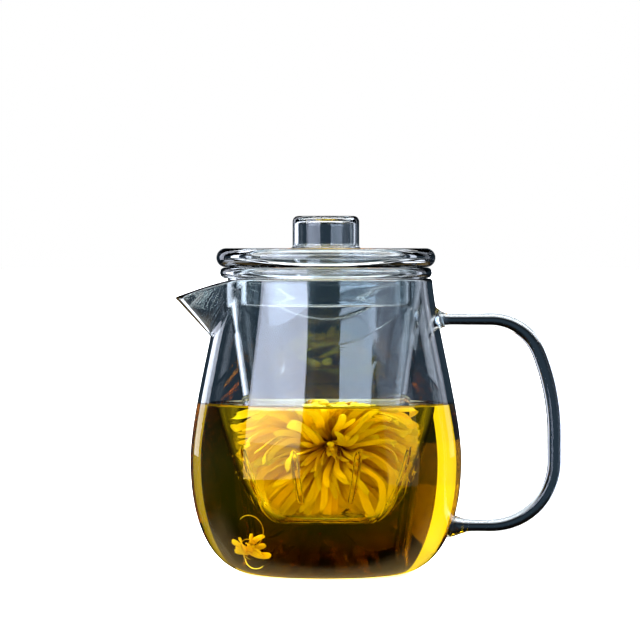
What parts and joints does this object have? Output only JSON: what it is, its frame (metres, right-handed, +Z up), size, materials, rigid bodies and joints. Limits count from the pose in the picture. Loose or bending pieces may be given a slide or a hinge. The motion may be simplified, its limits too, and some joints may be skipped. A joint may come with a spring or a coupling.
{
  "type": "glass teapot",
  "caption": "Clear glass teapot with a pouring beak, a bent rod handle, a lift-out slotted infuser and a lift-off lid with a round knob.",
  "frame": {"origin": "centre of the pot's base, on the surface that it stands on", "axes": "+Z up along the pot's axis, +X towards the handle and -X towards the spout"},
  "size_m": [0.1505, 0.1052, 0.1386],
  "materials": {
    "clear_glass": "polished"
  },
  "bodies": {
    "pot": {"pot_body": "clear_glass", "pour_spout": "clear_glass", "handle_rod": "clear_glass", "upper_handle_weld": "clear_glass", "lower_handle_weld": "clear_glass"},
    "infuser": {"infuser_cup": "clear_glass", "infuser_rim": "clear_glass"},
    "lid": {"lid_plate": "clear_glass", "lid_skirt": "clear_glass", "lid_knob": "clear_glass"}
  },
  "joints": [
    {"name": "infuser_lift", "type": "slide", "parent": "pot", "child": "infuser", "axis": [0, 0, 1], "range_m": [0, 0.11]},
    {"name": "lid_lift", "type": "slide", "parent": "infuser", "child": "lid", "axis": [0, 0, 1], "range_m": [0, 0.05]}
  ]
}
